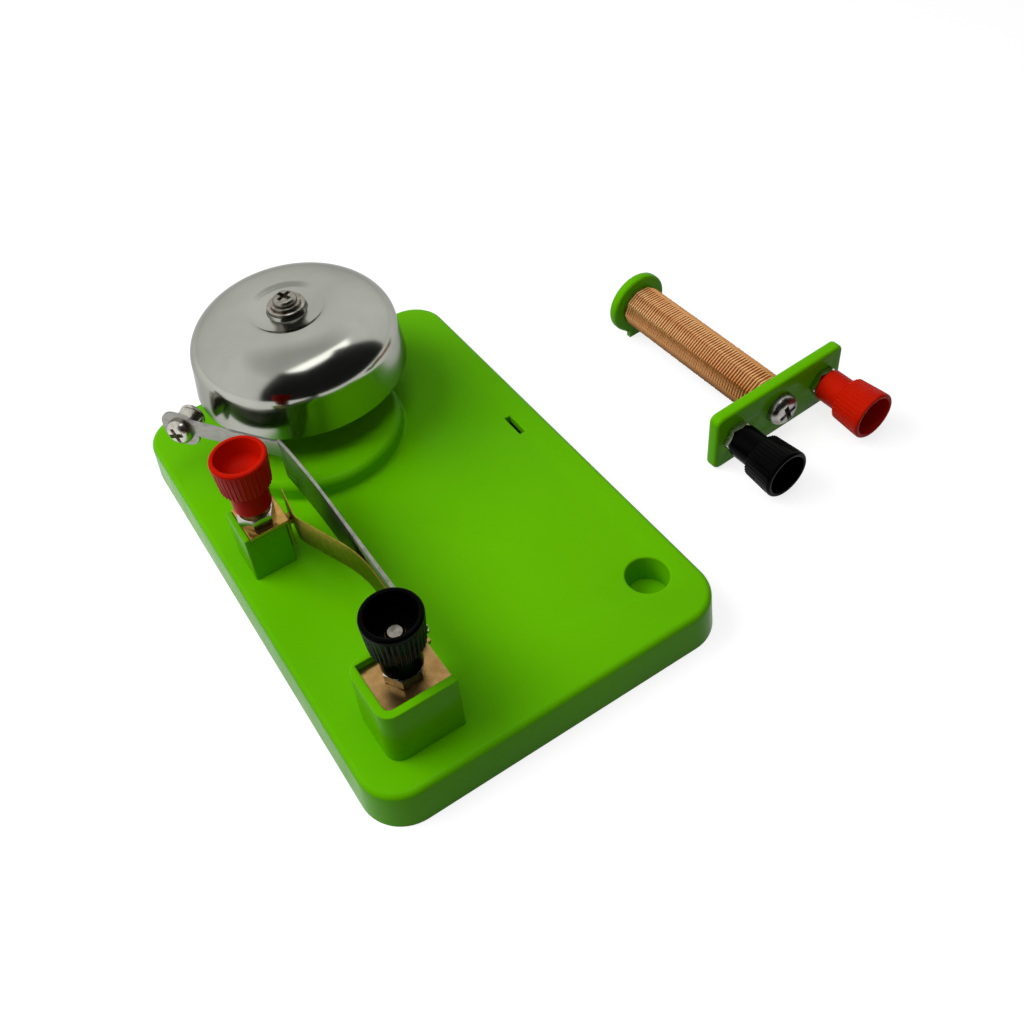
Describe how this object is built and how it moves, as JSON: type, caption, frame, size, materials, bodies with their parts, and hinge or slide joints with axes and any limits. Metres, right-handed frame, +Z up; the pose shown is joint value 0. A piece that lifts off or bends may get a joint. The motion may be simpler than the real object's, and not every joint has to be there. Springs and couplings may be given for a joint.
{
  "type": "electric bell demonstrator",
  "caption": "Trembler bell on a moulded tray: gong, sprung steel armature with hammer, contact spring, knurled binding posts, and a separate plug-in electromagnet.",
  "frame": {"origin": "centre of the tray's underside, on its middle rib", "axes": "+Z up, +Y towards the gong, +X towards the electromagnet that lies beside the tray"},
  "size_m": [0.1653, 0.1454, 0.0487],
  "materials": {
    "green_abs": "glossy moulded ABS",
    "gong_chrome": "polished chrome plate",
    "nickel": "bright nickel plate",
    "brass": "bright brass",
    "bronze": "copper-brown satin",
    "spring_steel": "satin spring steel",
    "red_cap": "glossy moulded plastic",
    "black_cap": "glossy moulded plastic",
    "core_iron": "zinc plated iron",
    "copper_wire": "enamelled copper wire"
  },
  "bodies": {
    "root": {"base_plate": "green_abs", "black_block": "green_abs", "red_block": "green_abs", "gong_platform": "green_abs", "gong": "gong_chrome", "gong_washer": "nickel", "gong_screw": "nickel", "black_bracket": "bronze", "red_bracket": "brass", "black_post_stud": "nickel", "black_post_nut": "nickel", "red_post_stud": "nickel", "red_post_nut": "nickel"},
    "armature": {"armature_strip": "spring_steel", "hammer_screw": "nickel", "striker": "nickel", "contact_spring": "brass", "contact_rivet": "nickel", "clamp_rivet_front": "nickel", "clamp_rivet_rear": "nickel"},
    "electromagnet": {"coil_bobbin": "green_abs", "iron_core": "core_iron", "winding": "copper_wire", "coil_red_lead": "copper_wire", "coil_black_lead": "copper_wire", "coil_black_stud": "nickel", "coil_black_nut": "nickel", "coil_red_stud": "nickel", "coil_red_nut": "nickel"},
    "black_post_bush": {"black_post_bush": "brass"},
    "black_post_cap": {"black_post_cap": "black_cap"},
    "red_post_bush": {"red_post_bush": "brass"},
    "red_post_cap": {"red_post_cap": "red_cap"},
    "coil_black_bush": {"coil_black_bush": "brass"},
    "coil_black_cap": {"coil_black_cap": "black_cap"},
    "coil_red_bush": {"coil_red_bush": "brass"},
    "coil_red_cap": {"coil_red_cap": "red_cap"}
  },
  "joints": [
    {"name": "armature_swing", "type": "hinge", "parent": "root", "child": "armature", "pos_m": [-0.0205, -0.0436, 0.02535], "axis": [0, 0, -1], "range_deg": [0, 0.85], "stiffness_Nm_per_rad": 5.44},
    {"name": "electromagnet_lift", "type": "slide", "parent": "root", "child": "electromagnet", "axis": [0, 0, 1], "range_m": [0, 0.06]},
    {"name": "black_post_rise", "type": "slide", "parent": "root", "child": "black_post_bush", "axis": [0, 0, 1], "range_m": [0, 0.0028]},
    {"name": "black_post_spin", "type": "hinge", "parent": "black_post_bush", "child": "black_post_cap", "pos_m": [-0.0273, -0.0515, 0.0247], "axis": [0, 0, 1], "range_deg": [0, 1440]},
    {"name": "red_post_rise", "type": "slide", "parent": "root", "child": "red_post_bush", "axis": [0, 0, 1], "range_m": [0, 0.0028]},
    {"name": "red_post_spin", "type": "hinge", "parent": "red_post_bush", "child": "red_post_cap", "pos_m": [-0.0346, 0.0062, 0.0247], "axis": [0, 0, 1], "range_deg": [0, 1440]},
    {"name": "coil_black_rise", "type": "slide", "parent": "electromagnet", "child": "coil_black_bush", "axis": [0.0593, -0.9976, -0.0347], "range_m": [0, 0.0028]},
    {"name": "coil_black_spin", "type": "hinge", "parent": "coil_black_bush", "child": "coil_black_cap", "pos_m": [0.08085, -0.02968, 0.00894], "axis": [0.0593, -0.9976, -0.0347], "range_deg": [0, 1440]},
    {"name": "coil_red_rise", "type": "slide", "parent": "electromagnet", "child": "coil_red_bush", "axis": [0.0593, -0.9976, -0.0347], "range_m": [0, 0.0028]},
    {"name": "coil_red_spin", "type": "hinge", "parent": "coil_red_bush", "child": "coil_red_cap", "pos_m": [0.11199, -0.02783, 0.00894], "axis": [0.0593, -0.9976, -0.0347], "range_deg": [0, 1440]}
  ],
  "couplings": [
    {"joint": "black_post_spin", "follows": "black_post_rise", "rad_per_m": 8976},
    {"joint": "red_post_spin", "follows": "red_post_rise", "rad_per_m": 8976},
    {"joint": "coil_black_spin", "follows": "coil_black_rise", "rad_per_m": 8976},
    {"joint": "coil_red_spin", "follows": "coil_red_rise", "rad_per_m": 8976}
  ]
}
